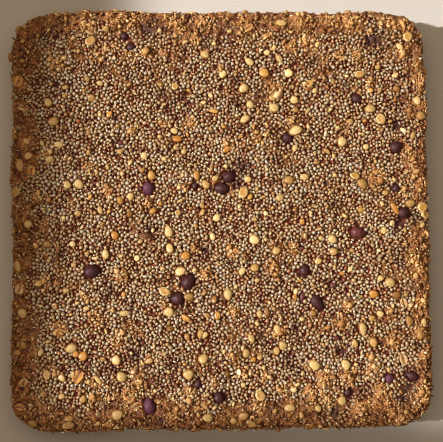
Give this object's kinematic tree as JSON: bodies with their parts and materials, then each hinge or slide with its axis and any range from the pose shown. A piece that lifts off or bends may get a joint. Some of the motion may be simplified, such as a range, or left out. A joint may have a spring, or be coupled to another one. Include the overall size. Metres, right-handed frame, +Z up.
{
  "type": "granola bar slab",
  "caption": "Uncut square slab of baked granola bar: tiny toasted grains bound in syrup, with pale kernels and dark drops in its flat top.",
  "frame": {"origin": "centre of the flat underside, at the middle of the slab's footprint", "axes": "+Z up through the slab's thickness, out of the top with the drops; X and Y along its two pairs of sides"},
  "size_m": [0.2046, 0.205, 0.0246],
  "materials": {
    "toasted_crumb": "baked grain and syrup, toasted golden brown, rough and slightly sticky, browner at the rim",
    "dark_drop": "smooth dark purple-brown with a soft sheen"
  },
  "bodies": {
    "root": {"slab": "toasted_crumb", "dark_drop_01": "dark_drop", "dark_drop_02": "dark_drop", "dark_drop_03": "dark_drop", "dark_drop_04": "dark_drop", "dark_drop_05": "dark_drop", "dark_drop_06": "dark_drop", "dark_drop_07": "dark_drop", "dark_drop_08": "dark_drop", "dark_drop_09": "dark_drop", "dark_drop_10": "dark_drop", "dark_drop_11": "dark_drop", "dark_drop_12": "dark_drop", "dark_drop_13": "dark_drop", "dark_drop_14": "dark_drop", "dark_drop_15": "dark_drop", "dark_drop_16": "dark_drop", "dark_drop_17": "dark_drop", "dark_drop_18": "dark_drop", "dark_drop_19": "dark_drop", "dark_drop_20": "dark_drop", "dark_drop_21": "dark_drop", "dark_drop_22": "dark_drop", "dark_drop_23": "dark_drop", "dark_drop_24": "dark_drop"}
  },
  "joints": []
}
